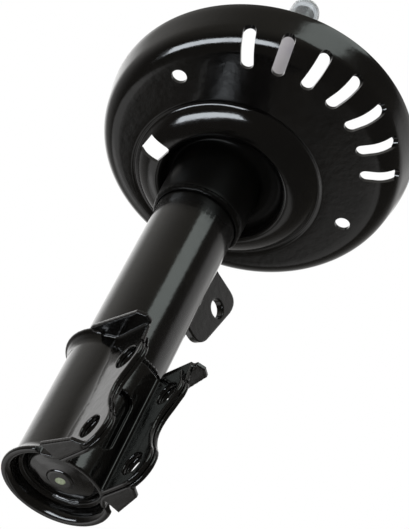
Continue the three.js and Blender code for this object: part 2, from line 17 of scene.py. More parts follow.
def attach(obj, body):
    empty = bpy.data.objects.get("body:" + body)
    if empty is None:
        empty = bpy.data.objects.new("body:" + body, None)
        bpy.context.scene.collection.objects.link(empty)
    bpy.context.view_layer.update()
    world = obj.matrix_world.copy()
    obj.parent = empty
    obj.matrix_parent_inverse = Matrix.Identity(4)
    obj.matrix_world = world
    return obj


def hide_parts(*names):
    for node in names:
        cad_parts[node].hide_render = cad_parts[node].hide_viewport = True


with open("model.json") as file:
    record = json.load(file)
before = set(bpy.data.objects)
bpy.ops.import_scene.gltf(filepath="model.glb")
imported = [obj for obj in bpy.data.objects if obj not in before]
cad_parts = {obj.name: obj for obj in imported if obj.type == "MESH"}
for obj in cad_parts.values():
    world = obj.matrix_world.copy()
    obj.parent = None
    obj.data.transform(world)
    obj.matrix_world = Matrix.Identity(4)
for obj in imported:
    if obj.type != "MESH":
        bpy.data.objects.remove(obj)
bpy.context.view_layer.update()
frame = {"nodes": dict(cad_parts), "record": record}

BODY = "damper_body"
ROD = "rod"

# ---- dimensions shared with the CAD part, in millimetres ----
MM = 0.001
GAP = 0.3
CAP_FACE_HEIGHT = 5.6
TUBE_RADIUS = 25.5
TUBE_WALL = 2.5
TUBE_BOTTOM = 9.0
TUBE_TOP = 326.0
TUBE_LIP_RADIUS = 17.0

CLAMP_SHEET = 2.7
CLAMP_HEIGHT = 89.7
LIP_RADIUS = 32.5
LIP_HEIGHT = 5.0
LIP_END_X = 15.5
LIP_INSIDE = TUBE_RADIUS + GAP + CLAMP_SHEET / 2
LOWER_LIP_FACE = [
    (TUBE_RADIUS + 0.4, 5), (LIP_RADIUS - 5.7, 2.2), (LIP_RADIUS - 4.4, 0.5), (LIP_RADIUS - 3.4, 0),
    (LIP_RADIUS - 0.7, 0), (LIP_RADIUS, 0.7),
]
UPPER_LIP_FACE = [(LIP_INSIDE, LIP_HEIGHT), (LIP_RADIUS - 2.6, 0.8), (LIP_RADIUS - 1.2, 0), (LIP_RADIUS, 0.6)]
EAR_FACE = 18.6
EAR_FILLET = 9.0
EAR_SHEET_END = 70.0  # the sheets run on to here before their free edge is cut
BOLT_X = 43.0
BOLT_HEIGHTS = (14.5, 64.5)
BOLT_HOLE_RADIUS = 7.25
INNER_CLAMP_TOP = 81.5
WEB_BACK = TUBE_RADIUS + 0.6
WINDOW_Y = -1.0
WINDOW_WIDTH = 12.5
WINDOW_BOTTOM = 20.0
WINDOW_TOP = 58.0

SEAT_SHEET = 2.6
SEAT_TILT = Vector((-0.1546, -0.0173, 0.9878)).normalized()
DISH_CENTRE = Vector((21.2, 2.5, 257.5))
RING_CENTRE = Vector((2.0, 4.2))
DISH_FLAT_RADIUS = 81.0
DISH_BEND_RADIUS = 14.0
DISH_WALL_ANGLE = math.radians(78)
DISH_HEIGHT = 25.5
COLLAR_BOTTOM = 216.0
SLOT_AZIMUTHS = [math.radians(-45 + 14.5 * i) for i in range(7)]
SLOT_WIDTH = 8.0
SLOT_INNER_RADIUS = 71.5
SLOT_BEND_RADIUS = 92.0  # where a slot turns up the wall
SLOT_TOP = 10.5  # its end on the wall, above the base plane
SLOT_TOP_FALL = 5.0  # how much lower it ends, per radian past SLOT_FALL_START
SLOT_FALL_START = 0.2
SEAT_HOLE_RADIUS = 4.8
SEAT_HOLE_OUT = 72.5
SEAT_HOLE_AZIMUTHS = (math.radians(-80), math.radians(75))
SEAT_EDGE_EASE = 0.25

TAB_AZIMUTH = math.radians(106)
TAB_THICKNESS = 5.0
TAB_HOLE_OUT = 45.7
TAB_HOLE_HEIGHT = 182.3
TAB_HOLE_RADIUS = 6.0
TAB_WELDS = (("upper", 202.4, 206.8, 4.0), ("lower", 147.2, 150.9, 5.0))  # name, ends, seed

ROD_RADIUS = 10.0
ROD_SHOULDER = 405.0
THREAD_RADIUS = 7.0
THREAD_PITCH = 1.5
ROD_TOP = 428.0
PISTON_SEAT = 156.0
END_CAP_RADIUS = 10.4
END_CAP_BORE = 8.9
END_CAP_DOME = 427.0
END_CAP_BOTTOM = ROD_SHOULDER + 2.4

# ---- paint details and the hub's painted shade, in metres in the row frame ----
HUB_CENTRE = (0.0014, 0.0030)
HUB_EDGE = (0.0380, 0.0412)  # the hub's painted shade fades out between these radii
HUB_START = (0.200, 0.214)  # and fades in between about these heights
DAB_CENTRE = (0.0, 0.0005)
DAB_SIZE = (0.0068, 0.0056)

# ---- camera, in metres in the row frame, and floor ----
CAMERA_PLACE = Vector((0.7356, -0.3275, -0.4883))
CAMERA_TARGET = Vector((0.00716, 0.01521, 0.17997))
CAMERA_ROLL = math.radians(-26.905)
CAMERA_LENS = 118.2
FLOOR_HALF = 6.0
FLOOR_LEVEL = -0.78


# ---- mesh helpers ----
def to_frame(point):
    return Vector((point[0] * MM, point[1] * MM, (point[2] - CAP_FACE_HEIGHT) * MM))


def new_piece(name, points, faces):
    """A mesh object from points in millimetres, with its faces turned outward."""
    mesh = bpy.data.meshes.new(name)
    mesh.from_pydata([to_frame(p) for p in points], [], faces)
    bm = bmesh.new()
    bm.from_mesh(mesh)
    bmesh.ops.recalc_face_normals(bm, faces=bm.faces)
    bm.to_mesh(mesh)
    bm.free()
    obj = bpy.data.objects.new(name, mesh)
    bpy.context.scene.collection.objects.link(obj)
    return obj


def freeze(obj):
    """Applies an object's modifiers to its mesh."""
    graph = bpy.context.evaluated_depsgraph_get()
    done = bpy.data.meshes.new_from_object(obj.evaluated_get(graph))
    obj.modifiers.clear()
    old, obj.data = obj.data, done
    bpy.data.meshes.remove(old)
    return obj


def shade(obj, degrees=35.0, weighted=True):
    """Smooth shading that keeps edges sharper than the angle."""
    obj.data.shade_smooth()
    obj.data.set_sharp_from_angle(angle=math.radians(degrees))
    if weighted:
        obj.modifiers.new("even_normals", "WEIGHTED_NORMAL").keep_sharp = True
    return obj


def arc(cx, cy, radius, start, end, steps):
    """Points along an arc, in radians, both ends included."""
    turns = [start + (end - start) * i / steps for i in range(steps + 1)]
    return [(cx + radius * math.cos(t), cy + radius * math.sin(t)) for t in turns]


def circle(cx, cy, radius, steps):
    """A closed ring of points."""
    return arc(cx, cy, radius, 0, 2 * math.pi, steps)[:-1]


def curve(start, pull, end, steps=10):
    """Points along a quadratic curve after its start."""
    made = []
    for i in range(1, steps + 1):
        t = i / steps
        a, b, c = (1 - t) ** 2, 2 * t * (1 - t), t * t
        made.append((a * start[0] + b * pull[0] + c * end[0], a * start[1] + b * pull[1] + c * end[1]))
    return made


def rounded(pairs, radius, steps=4):
    """A closed outline with each corner eased; a pair on the axis stays as it is."""
    made = []
    for i, pair in enumerate(pairs):
        here = Vector(pair)
        if pair[0] == 0:
            made.append(tuple(here))
            continue
        back = Vector(pairs[i - 1]) - here
        ahead = Vector(pairs[(i + 1) % len(pairs)]) - here
        reach = min(radius, 0.42 * back.length, 0.42 * ahead.length)
        start, end = here + back.normalized() * reach, here + ahead.normalized() * reach
        made.append(tuple(start))
        made.extend(curve(start, here, end, steps))
    return made


def revolve(name, pairs, segments=144, stretch=None):
    """A turned piece from (radius, height) pairs. stretch(radius, height, turn) may
    change a point's radius."""
    points, rings, faces = [], [], []
    for radius, height in pairs:
        if radius == 0:
            rings.append([len(points)] * segments)
            points.append((0, 0, height))
            continue
        rings.append(list(range(len(points), len(points) + segments)))
        for i in range(segments):
            turn = 2 * math.pi * i / segments
            r = stretch(radius, height, turn) if stretch else radius
            points.append((r * math.cos(turn), r * math.sin(turn), height))
    closed = pairs[0][0] != 0
    for k in range(len(rings) if closed else len(rings) - 1):
        lower, upper = rings[k], rings[(k + 1) % len(rings)]
        for i in range(segments):
            j = (i + 1) % segments
            corners = [lower[i], lower[j], upper[j], upper[i]]
            face = list(dict.fromkeys(corners))
            if len(face) > 2:
                faces.append(face)
    return new_piece(name, points, faces)


def prism(name, outline, low, high, upright=True):
    """A flat outline given thickness: along Z, or along Y with the outline in X and height."""
    place = (lambda x, y, d: (x, y, d)) if upright else (lambda x, y, d: (x, d, y))
    count = len(outline)
    points = [place(x, y, low) for x, y in outline] + [place(x, y, high) for x, y in outline]
    sides = [(i, (i + 1) % count, count + (i + 1) % count, count + i) for i in range(count)]
    return new_piece(name, points, [tuple(range(count)), tuple(range(count, 2 * count)), *sides])


def block(name, low, high):
    outline = [(low[0], low[1]), (high[0], low[1]), (high[0], high[1]), (low[0], high[1])]
    return prism(name, outline, low[2], high[2])


def loft(name, loops):
    """A solid through a stack of closed loops of points."""
    count = len(loops[0])
    points = [p for loop in loops for p in loop]
    last = (len(loops) - 1) * count
    faces = [tuple(range(count)), tuple(range(last, last + count))]
    for k in range(len(loops) - 1):
        for i in range(count):
            j = (i + 1) % count
            faces.append((k * count + i, k * count + j, (k + 1) * count + j, (k + 1) * count + i))
    return new_piece(name, points, faces)


def carve(obj, *tools):
    """Cuts the tools away from obj and removes them."""
    for tool in tools:
        cut = obj.modifiers.new("cut", "BOOLEAN")
        cut.operation, cut.solver, cut.object = "DIFFERENCE", "MANIFOLD", tool
    freeze(obj)
    for tool in tools:
        bpy.data.meshes.remove(tool.data)
    return obj


def fuse(name, parts, voxel, passes):
    """One closed skin round overlapping solids, with its edges and joins eased."""
    bm = bmesh.new()
    for part in parts:
        bm.from_mesh(part.data)
        bpy.data.meshes.remove(part.data)
    mesh = bpy.data.meshes.new(name)
    bm.to_mesh(mesh)
    bm.free()
    obj = bpy.data.objects.new(name, mesh)
    bpy.context.scene.collection.objects.link(obj)
    skin = obj.modifiers.new("skin", "REMESH")
    skin.mode, skin.voxel_size = "VOXEL", voxel * MM
    ease = obj.modifiers.new("ease", "SMOOTH")
    ease.factor, ease.iterations = 0.5, passes
    freeze(obj)
    obj.data.shade_smooth()
    return obj


def bead(name, path, radius, pitch, seed, sides=14):
    """A weld bead along a list of points, rippled along its length and lumpy."""
    points, faces = [], []
    travelled = 0.0
    total = sum((Vector(b) - Vector(a)).length for a, b in zip(path, path[1:]))
    for i, here in enumerate(path):
        here = Vector(here)
        before, after = Vector(path[max(i - 1, 0)]), Vector(path[min(i + 1, len(path) - 1)])
        along = (after - before).normalized()
        out = Vector((here.x, here.y, 0)).normalized()
        out = (out - along * out.dot(along)).normalized()
        side = along.cross(out)
        if i:
            travelled += (here - before).length
        end = min(travelled, total - travelled) / (1.4 * radius)
        taper = math.sqrt(max(1 - (1 - min(end, 1)) ** 2, 0.02))
        ripple = 0.07 * math.sin(2 * math.pi * travelled / pitch)
        lump = 0.16 * noise.noise(Vector((travelled * 0.22, seed, 0.5)))
        size = radius * taper * (1 + ripple + lump)
        for k in range(sides):
            t = 2 * math.pi * k / sides
            points.append(here + out * (size * math.cos(t)) + side * (size * 1.15 * math.sin(t)))
    for i in range(len(path) - 1):
        for k in range(sides):
            j = (k + 1) % sides
            faces.append((i * sides + k, i * sides + j, (i + 1) * sides + j, (i + 1) * sides + k))
    last = (len(path) - 1) * sides
    faces += [tuple(range(sides)), tuple(range(last, last + sides))]
    return shade(new_piece(name, points, faces), 60, weighted=False)


def basis_matrix(forward, left, up, origin):
    """The matrix whose columns are three axes and an origin."""
    columns = [forward, left, up, origin]
    return Matrix([[c[row] for c in columns] for row in range(3)] + [[0, 0, 0, 1]])


class Cutter:
    """A cutting solid that is used on several pieces."""

    def __init__(self, obj):
        self.obj = obj
        obj.hide_render = True

    def copy(self):
        twin = bpy.data.objects.new("cutter", self.obj.data.copy())
        bpy.context.scene.collection.objects.link(twin)
        return twin

    def drop(self):
        bpy.data.meshes.remove(self.obj.data)


# ---- materials ----
class Nodes:
    """A short way to write a material's node tree."""

    def __init__(self, name):
        self.material = bpy.data.materials.new(name)
        self.material.use_nodes = True
        self.tree = self.material.node_tree
        self.tree.nodes.clear()
        self.shader = self.add("ShaderNodeBsdfPrincipled")
        self.output = self.add("ShaderNodeOutputMaterial")
        self.link(self.shader.outputs[0], self.output.inputs["Surface"])
        self.coords = self.add("ShaderNodeTexCoord").outputs["Object"]

    def add(self, kind, **values):
        node = self.tree.nodes.new(kind)
        for key, value in values.items():
            setattr(node, key, value)
        return node

    def link(self, source, target):
        self.tree.links.new(source, target)

    def set(self, **values):
        names = {
            "metallic": "Metallic", "roughness": "Roughness", "ior": "IOR",
            "coat": "Coat Weight", "coat_roughness": "Coat Roughness", "coat_ior": "Coat IOR",
            "transmission": "Transmission Weight",
        }
        for key, value in values.items():
            self.shader.inputs[names[key]].default_value = value

    def noise(self, scale, detail=3.0, roughness=0.5, stretch=(1, 1, 1)):
        where = self.add("ShaderNodeMapping")
        where.inputs["Scale"].default_value = stretch
        self.link(self.coords, where.inputs["Vector"])
        node = self.add("ShaderNodeTexNoise")
        node.inputs["Scale"].default_value = scale
        node.inputs["Detail"].default_value = detail
        node.inputs["Roughness"].default_value = roughness
        self.link(where.outputs["Vector"], node.inputs["Vector"])
        return node.outputs["Fac"]

    def ramp(self, value, low, high, start, end):
        node = self.add("ShaderNodeMapRange", clamp=True)
        for key, number in (("From Min", low), ("From Max", high), ("To Min", start), ("To Max", end)):
            node.inputs[key].default_value = number
        self.link(value, node.inputs["Value"])
        return node.outputs["Result"]

    def math(self, operation, a, b=None):
        node = self.add("ShaderNodeMath", operation=operation)
        for socket, value in zip(node.inputs, (a, b)):
            if isinstance(value, (int, float)):
                socket.default_value = value
            elif value is not None:
                self.link(value, socket)
        return node.outputs[0]

    def mix(self, amount, first, second):
        node = self.add("ShaderNodeMix", data_type="RGBA")
        for key, value in (("Factor", amount), ("A", first), ("B", second)):
            socket = [s for s in node.inputs if s.name == key and s.enabled][0]
            if isinstance(value, (int, float, tuple)):
                socket.default_value = value
            else:
                self.link(value, socket)
        return [s for s in node.outputs if s.enabled][0]

    def bump(self, *layers):
        """Stacked bump layers of (height, strength, distance in metres)."""
        normal = None
        for height, strength, distance in layers:
            node = self.add("ShaderNodeBump")
            node.inputs["Strength"].default_value = strength
            node.inputs["Distance"].default_value = distance
            self.link(height, node.inputs["Height"])
            if normal is not None:
                self.link(normal, node.inputs["Normal"])
            normal = node.outputs["Normal"]
        self.link(normal, self.shader.inputs["Normal"])
        self.link(normal, self.shader.inputs["Coat Normal"])

    def mix_value(self, amount, first, second):
        """first where amount is 0, second where it is 1."""
        keep = self.math("MULTIPLY", first, self.math("SUBTRACT", 1.0, amount))
        return self.math("ADD", keep, self.math("MULTIPLY", amount, second))


def tint(r, g, b):
    return (r, g, b, 1.0)


def paint_material(name, peel=1.0, dab=False, painted_hub_shade=False):
    """Gloss black dip paint: orange peel, faint warm haze, dust and thin edges. With
    dab, a mark of green paint lies on it. The last flag gives it a painted shade up in
    the hub, where the tube enters the pan: coat and specular cut and roughness raised."""
    n = Nodes(name)
    haze = n.noise(38, 4, 0.55)
    dust = n.noise(2600, 2, 0.6)
    specks = n.ramp(dust, 0.72, 0.78, 0.0, 1.0)
    edges = n.ramp(n.add("ShaderNodeNewGeometry").outputs["Pointiness"], 0.53, 0.6, 0.0, 0.6)
    black, brown_black = tint(0.0032, 0.0032, 0.0034), tint(0.0066, 0.0058, 0.0054)
    colour = n.mix(n.ramp(haze, 0.35, 0.7, 0.0, 1.0), black, brown_black)
    colour = n.mix(n.math("MULTIPLY", specks, 0.35), colour, tint(0.06, 0.058, 0.054))
    colour = n.mix(edges, colour, tint(0.022, 0.022, 0.023))
    rough = n.ramp(n.noise(120, 5, 0.6), 0.3, 0.75, 0.10, 0.22)
    rough = n.math("ADD", rough, n.math("MULTIPLY", specks, 0.25))
    if dab:
        colour, rough = paint_dab(n, colour, rough)
    n.link(colour, n.shader.inputs["Base Color"])
    n.link(rough, n.shader.inputs["Roughness"])
    n.set(ior=1.5, coat=0.6, coat_roughness=0.045, coat_ior=1.5)
    # painted shade: in the hub recess the coat and specular are cut and the roughness raised, darkening it
    if painted_hub_shade:
        amount = painted_hub_shade_mask(n)
        n.link(n.mix_value(amount, rough, 0.42), n.shader.inputs["Roughness"])
        n.link(n.mix_value(amount, 0.6, 0.03), n.shader.inputs["Coat Weight"])
        n.link(n.mix_value(amount, 0.5, 0.16), n.shader.inputs["Specular IOR Level"])
    n.bump((n.noise(260, 2, 0.4), 0.10 * peel, 0.0004), (n.noise(900, 2, 0.5), 0.05 * peel, 0.0002))
    return n.material


def from_middle(n, output, middle):
    """How far a coordinate's output is from a middle value."""
    return n.math("SUBTRACT", output, middle)


def square_sum(n, a, b):
    return n.math("ADD", n.math("MULTIPLY", a, a), n.math("MULTIPLY", b, b))


def painted_hub_shade_mask(n):
    """Where the hub's painted shade lies: 1 within the hub, 0 outside it."""
    parts = n.add("ShaderNodeSeparateXYZ")
    n.link(n.coords, parts.inputs[0])
    x = from_middle(n, parts.outputs["X"], HUB_CENTRE[0])
    y = from_middle(n, parts.outputs["Y"], HUB_CENTRE[1])
    away = n.math("SQRT", square_sum(n, x, y))
    height = n.math("ADD", parts.outputs["Z"], n.math("MULTIPLY", n.noise(60, 3, 0.5), 0.012))
    return n.math("MULTIPLY", n.ramp(away, *HUB_EDGE, 1.0, 0.0), n.ramp(height, *HUB_START, 0.0, 1.0))


def paint_dab(n, colour, rough):
    """Lays a rough-edged dab of pale green marking paint on the base cap's face."""
    parts = n.add("ShaderNodeSeparateXYZ")
    n.link(n.coords, parts.inputs[0])
    wobble = n.math("MULTIPLY", n.math("SUBTRACT", n.noise(420, 3, 0.6), 0.5), 0.9)
    across = n.math("DIVIDE", from_middle(n, parts.outputs["X"], DAB_CENTRE[0]), DAB_SIZE[0] / 2)
    along = n.math("DIVIDE", from_middle(n, parts.outputs["Y"], DAB_CENTRE[1]), DAB_SIZE[1] / 2)
    inside = n.ramp(n.math("ADD", square_sum(n, across, along), wobble), 0.75, 1.1, 1.0, 0.0)
    low = n.ramp(parts.outputs["Z"], 0.0008, 0.0012, 1.0, 0.0)
    mask = n.math("MULTIPLY", inside, low)
    dull_green, pale_green = tint(0.42, 0.52, 0.30), tint(0.66, 0.72, 0.56)
    green = n.mix(n.ramp(n.noise(700, 3, 0.6), 0.4, 0.65, 0, 1), dull_green, pale_green)
    return n.mix(mask, colour, green), n.mix_value(mask, rough, 0.45)


def metal_material(name, dark, light, rough, scale, stretch=(1, 1, 1), bump=0.1):
    """Machined or sintered metal with uneven tone and a fine surface."""
    n = Nodes(name)
    tone = n.noise(scale, 5, 0.62, stretch)
    n.link(n.mix(n.ramp(tone, 0.3, 0.7, 0, 1), tint(*dark), tint(*light)), n.shader.inputs["Base Color"])
    wear = n.noise(scale * 0.6, 4, 0.6, stretch)
    n.link(n.ramp(wear, 0.3, 0.7, rough[0], rough[1]), n.shader.inputs["Roughness"])
    n.set(metallic=1.0)
    n.bump((n.noise(scale * 4, 3, 0.6, stretch), bump, 0.0002))
    return n.material


def chrome_material():
    """Hard chrome with polishing lines round the rod and a thin oil film."""
    n = Nodes("hard_chrome")
    lines = n.noise(60, 4, 0.7, (1, 1, 90))
    film = n.noise(45, 3, 0.5)
    n.link(n.mix(n.ramp(film, 0.35, 0.7, 0, 1), tint(0.80, 0.79, 0.84), tint(0.70, 0.68, 0.77)),
           n.shader.inputs["Base Color"])
    n.link(n.ramp(lines, 0.3, 0.7, 0.05, 0.13), n.shader.inputs["Roughness"])
    n.set(metallic=1.0)
    n.bump((lines, 0.04, 0.0001))
    return n.material


def clear_material():
    """Milky clear moulded plastic."""
    n = Nodes("milky_clear_plastic")
    cloud = n.noise(160, 4, 0.6)
    n.link(n.mix(n.ramp(cloud, 0.3, 0.7, 0, 1), tint(0.86, 0.90, 0.94), tint(0.94, 0.96, 0.98)),
           n.shader.inputs["Base Color"])
    n.link(n.ramp(cloud, 0.3, 0.7, 0.10, 0.24), n.shader.inputs["Roughness"])
    n.set(transmission=0.82, ior=1.3, coat=0.2, coat_roughness=0.1)
    n.bump((n.noise(500, 2, 0.5), 0.08, 0.0003))
    return n.material


def soft_material(name, base, other, rough, scale):
    """Rubber or filled plastic: matt, slightly mottled."""
    n = Nodes(name)
    tone = n.noise(scale, 4, 0.6)
    n.link(n.mix(n.ramp(tone, 0.3, 0.7, 0, 1), tint(*base), tint(*other)), n.shader.inputs["Base Color"])
    n.link(n.ramp(tone, 0.3, 0.7, rough - 0.08, rough + 0.08), n.shader.inputs["Roughness"])
    n.bump((n.noise(scale * 5, 3, 0.6), 0.15, 0.0002))
    return n.material


PAINT = paint_material("gloss_black_paint")
# the same paint with a painted shade up in the hub recess
PAINT_WITH_HUB_SHADE = paint_material("gloss_black_paint_with_painted_hub_shade", painted_hub_shade=True)
PAINT_DAB = paint_material("gloss_black_paint_with_dab", dab=True)
PAINT_PRESSED = paint_material("gloss_black_paint_on_pressed_sheet", peel=1.5)
PAINT_WELD = paint_material("gloss_black_paint_on_weld", peel=2.5)
CHROME = chrome_material()
CLEAR = clear_material()
STEEL = metal_material("turned_steel", (0.42, 0.42, 0.44), (0.58, 0.58, 0.60), (0.22, 0.36), 90, (1, 1, 12))
THREAD_STEEL = metal_material("oiled_thread_steel", (0.16, 0.16, 0.17), (0.34, 0.33, 0.33), (0.2, 0.4), 220)
IRON = metal_material("sintered_iron", (0.16, 0.16, 0.165), (0.30, 0.30, 0.31), (0.42, 0.6), 900, bump=0.35)
BLUED = metal_material("blued_spring_steel", (0.20, 0.23, 0.32), (0.34, 0.36, 0.43), (0.2, 0.32), 120)
BRONZE = metal_material("bronze", (0.42, 0.27, 0.12), (0.60, 0.42, 0.20), (0.28, 0.42), 260)
RUBBER = soft_material("nitrile_rubber", (0.012, 0.012, 0.012), (0.028, 0.027, 0.026), 0.62, 300)
FLUORO = soft_material("bronze_filled_fluoropolymer", (0.10, 0.07, 0.05), (0.17, 0.13, 0.09), 0.48, 700)

SLOT_MATERIALS = {
    "black_paint": PAINT, "chrome_rod": CHROME, "clear_cap": CLEAR, "steel": STEEL,
    "sintered_iron": IRON, "spring_steel": BLUED, "bronze_bush": BRONZE, "rubber": RUBBER,
    "piston_band": FLUORO,
}


def dress(obj, material, slot, body, *nodes):
    """Gives a finished piece its material and its body, and hides the CAD nodes it stands for."""
    obj.data.materials.clear()
    obj.data.materials.append(material)
    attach(obj, body)
    if nodes:
        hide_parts(*nodes)
    return obj


# ---- tubes and ends of the damper body ----
def make_tube():
    inside = TUBE_RADIUS - TUBE_WALL
    pairs = [
        (inside, TUBE_BOTTOM), (TUBE_RADIUS, TUBE_BOTTOM), (TUBE_RADIUS, TUBE_TOP),
        (TUBE_LIP_RADIUS, TUBE_TOP), (TUBE_LIP_RADIUS, TUBE_TOP - TUBE_WALL),
        (inside, TUBE_TOP - TUBE_WALL),
    ]
    tube = revolve("tube_skin", rounded(pairs, 2.4, 6), 192)
    return dress(shade(tube, 40), PAINT_WITH_HUB_SHADE, "black_paint", BODY, "reserve_tube")


def make_base_cap():
    face = CAP_FACE_HEIGHT
    pairs = [
        (0, face), (6.2, face), (7.4, face + 0.1), (8.1, face + 0.9), (13, 7.0), (19.2, 8.2),
        (20.4, 9.6), (20.9, 12.4), (21.4, 12.6), (22.7, 11.6), (22.7, 17),
        (20.4, 17.2), (17.3, 15.6), (16.6, 11.8), (12, 10), (0, 8.6),
    ]
    cap = revolve("base_cap_skin", rounded(pairs, 0.8, 4), 144)
    return dress(shade(cap, 40), PAINT_DAB, "black_paint", BODY, "base_cap")


def make_base_weld():
    def lumpy(radius, _height, turn):
        lump = noise.noise(Vector((6 * math.cos(turn), 6 * math.sin(turn), 3.1)))
        ripple = math.sin(turn * 44)
        return radius + (radius - 22) * 0.05 * (lump + 0.2 * ripple)

    pairs = [(21.3, 12.2), (22.2, 10.4), (23.4, 9), (25.3, 7.6), (25.4, 8.7), (22.9, 8.7), (22.9, 11.2)]
    weld = revolve("base_weld_skin", rounded(pairs, 0.8, 3), 360, lumpy)
    return dress(shade(weld, 50), PAINT_WELD, "black_paint", BODY, "base_weld")


def make_bump_plate():
    skirt = TUBE_RADIUS + GAP
    top = TUBE_TOP + 2.8
    pairs = [
        (skirt, TUBE_TOP - 15), (skirt + 2, TUBE_TOP - 15), (skirt + 2, top), (11.6, top),
        (11.6, TUBE_TOP + GAP), (skirt, TUBE_TOP + GAP),
    ]
    plate = revolve("bump_plate_skin", rounded(pairs, 1.2, 5), 144)
    return dress(shade(plate, 40), PAINT, "black_paint", BODY, "bump_plate")


# ---- knuckle clamp ----
def wrap_path(radius, side, fillet):
    """The wrap's line seen from above, from the +Y ear round the tube to the -Y one."""
    centre_y = side + fillet
    centre_x = math.sqrt((radius + fillet) ** 2 - centre_y**2)
    on_circle = math.atan2(centre_y, centre_x)
    path = [(EAR_SHEET_END, side)]
    path += arc(centre_x, centre_y, fillet, -math.pi / 2, on_circle - math.pi, 14)
    path += arc(0, 0, radius, on_circle, 2 * math.pi - on_circle, 90)[1:]
    path += arc(centre_x, -centre_y, fillet, math.pi - on_circle, math.pi / 2, 14)[1:]
    return path + [(EAR_SHEET_END, -side)]


def wrap_loop(height):
    """The sheet's section at a height. Its fillets are fuller midway between the bolts."""
    full = math.exp(-(((height - 41.0) / 15.0) ** 2))
    fillet = EAR_FILLET - 3.0 + 8.0 * full
    outer = wrap_path(TUBE_RADIUS + GAP + CLAMP_SHEET, EAR_FACE, fillet)
    inner = wrap_path(TUBE_RADIUS + GAP, EAR_FACE - CLAMP_SHEET, fillet + CLAMP_SHEET)
    return [(x, y, height) for x, y in outer + inner[::-1]]


def ear_edge(bottom, top, inset=0.0):
    """An ear's free edge in X and height: a lobe round each bolt with a waist between."""
    low_hole, high_hole = BOLT_HEIGHTS
    lobe = 14.5 - inset
    edge = arc(BOLT_X, low_hole, lobe, -math.pi / 2, 0.75, 16)
    edge = [(x, max(y, bottom)) for x, y in edge]
    edge += curve(edge[-1], (46.5 - inset, 33), (46.2 - inset, 41))
    edge += curve(edge[-1], (46 - inset, 47), (50 - inset, 54.5))
    edge += arc(BOLT_X - 1.5, high_hole + 2, lobe - 2, -0.55, 0.75, 12)
    return edge + [(47.5 - inset, top)]


def ear_waste(bottom, top, inset=0.0):
    """The solid to cut away from ear sheets that run on past their free edge."""
    start, end = BOLT_X - 8, 90
    low, high = -20, 110
    outline = [(start, bottom), *ear_edge(bottom, top, inset), (start, top)]
    outline += [(start, high), (end, high), (end, low), (start, low)]
    return prism("waste", outline, -40, 40, upright=False)


def bolt_drills():
    return [
        prism("drill", circle(BOLT_X, height, BOLT_HOLE_RADIUS, 64), -40, 40, upright=False)
        for height in BOLT_HEIGHTS
    ]


def flange_outline(side, start_x, end_x, start_y, end_y):
    """A flange bent outward at an ear's top or bottom edge, seen from above."""
    root = side * (EAR_FACE - 1)
    return [
        (start_x, root), (end_x + 2, root), (end_x + 3.5, side * (end_y - 5)),
        (end_x, side * end_y), (start_x, side * start_y),
    ]


def clamp_lip(face, mirrored):
    """A flared lip round the wrap. face is the line of its outward side, from the bore."""
    outside = TUBE_RADIUS + GAP + CLAMP_SHEET
    pairs = [
        *face, (LIP_RADIUS, 2.4), (LIP_RADIUS - 1.6, 2.9), (outside + 0.6, LIP_HEIGHT + 1),
        (outside, LIP_HEIGHT + 3), (LIP_INSIDE, LIP_HEIGHT + 3),
    ]
    if mirrored:
        pairs = [(r, CLAMP_HEIGHT - z) for r, z in pairs]
    lip = revolve("lip", pairs, 160)
    return carve(lip, block("lip_end", (LIP_END_X, -60, -20), (60, 60, 120)))


def make_clamp_outer():
    heights = [CLAMP_HEIGHT * i / 30 for i in range(31)]
    shell = loft("wrap", [wrap_loop(h) for h in heights])
    trims = [
        block("trim", (-60, -60, -10), (LIP_END_X, 60, LIP_HEIGHT + 1)),
        block("trim", (-60, -60, CLAMP_HEIGHT - LIP_HEIGHT - 1), (LIP_END_X, 60, 110)),
    ]
    parts = [carve(shell, ear_waste(0.0, CLAMP_HEIGHT), *trims)]
    for side in (-1, 1):
        low = flange_outline(side, 21.5, 43, 29.5, 24.5)
        high = flange_outline(side, 12, 49, 32.3, 28)
        parts.append(prism("flange", low, 0, CLAMP_SHEET))
        parts.append(prism("flange", high, CLAMP_HEIGHT - CLAMP_SHEET, CLAMP_HEIGHT))
    parts += [clamp_lip(LOWER_LIP_FACE, False), clamp_lip(UPPER_LIP_FACE, True)]
    bore = prism("bore", circle(0, 0, TUBE_RADIUS + GAP, 160), -10, 110)
    tools = [bore, *bolt_drills()]
    cutters = [Cutter(t) for t in tools]
    parts = [carve(p, *[c.copy() for c in cutters]) for p in parts]
    for cutter in cutters:
        cutter.drop()
    clamp = fuse("clamp_outer_skin", parts, 0.5, 8)
    return dress(clamp, PAINT_PRESSED, "black_paint", BODY, "clamp_outer")


def make_clamp_inner():
    face_out = EAR_FACE - CLAMP_SHEET - GAP
    face_in = face_out - CLAMP_SHEET
    front = WEB_BACK + CLAMP_SHEET
    back_turn, front_turn = math.asin(face_out / WEB_BACK), math.asin(face_in / front)
    end = EAR_SHEET_END
    inside = [(end, -face_in), *arc(0, 0, front, -front_turn, front_turn, 30), (end, face_in)]
    outside = [(end, face_out), *arc(0, 0, WEB_BACK, back_turn, -back_turn, 36), (end, -face_out)]
    body = prism("channel", inside + outside, 0.4, INNER_CLAMP_TOP)
    r = WINDOW_WIDTH / 2
    window = arc(WINDOW_Y, WINDOW_BOTTOM + r, r, math.pi, 2 * math.pi, 20)
    window += arc(WINDOW_Y, WINDOW_TOP - r, r, 0, math.pi, 20)
    opening = loft("window", [[(x, y, z) for y, z in window] for x in (20, 34)])
    carve(body, ear_waste(0.4, INNER_CLAMP_TOP, 0.5), opening, *bolt_drills())
    clamp = fuse("clamp_inner_skin", [body], 0.5, 8)
    return dress(clamp, PAINT_PRESSED, "black_paint", BODY, "clamp_inner")


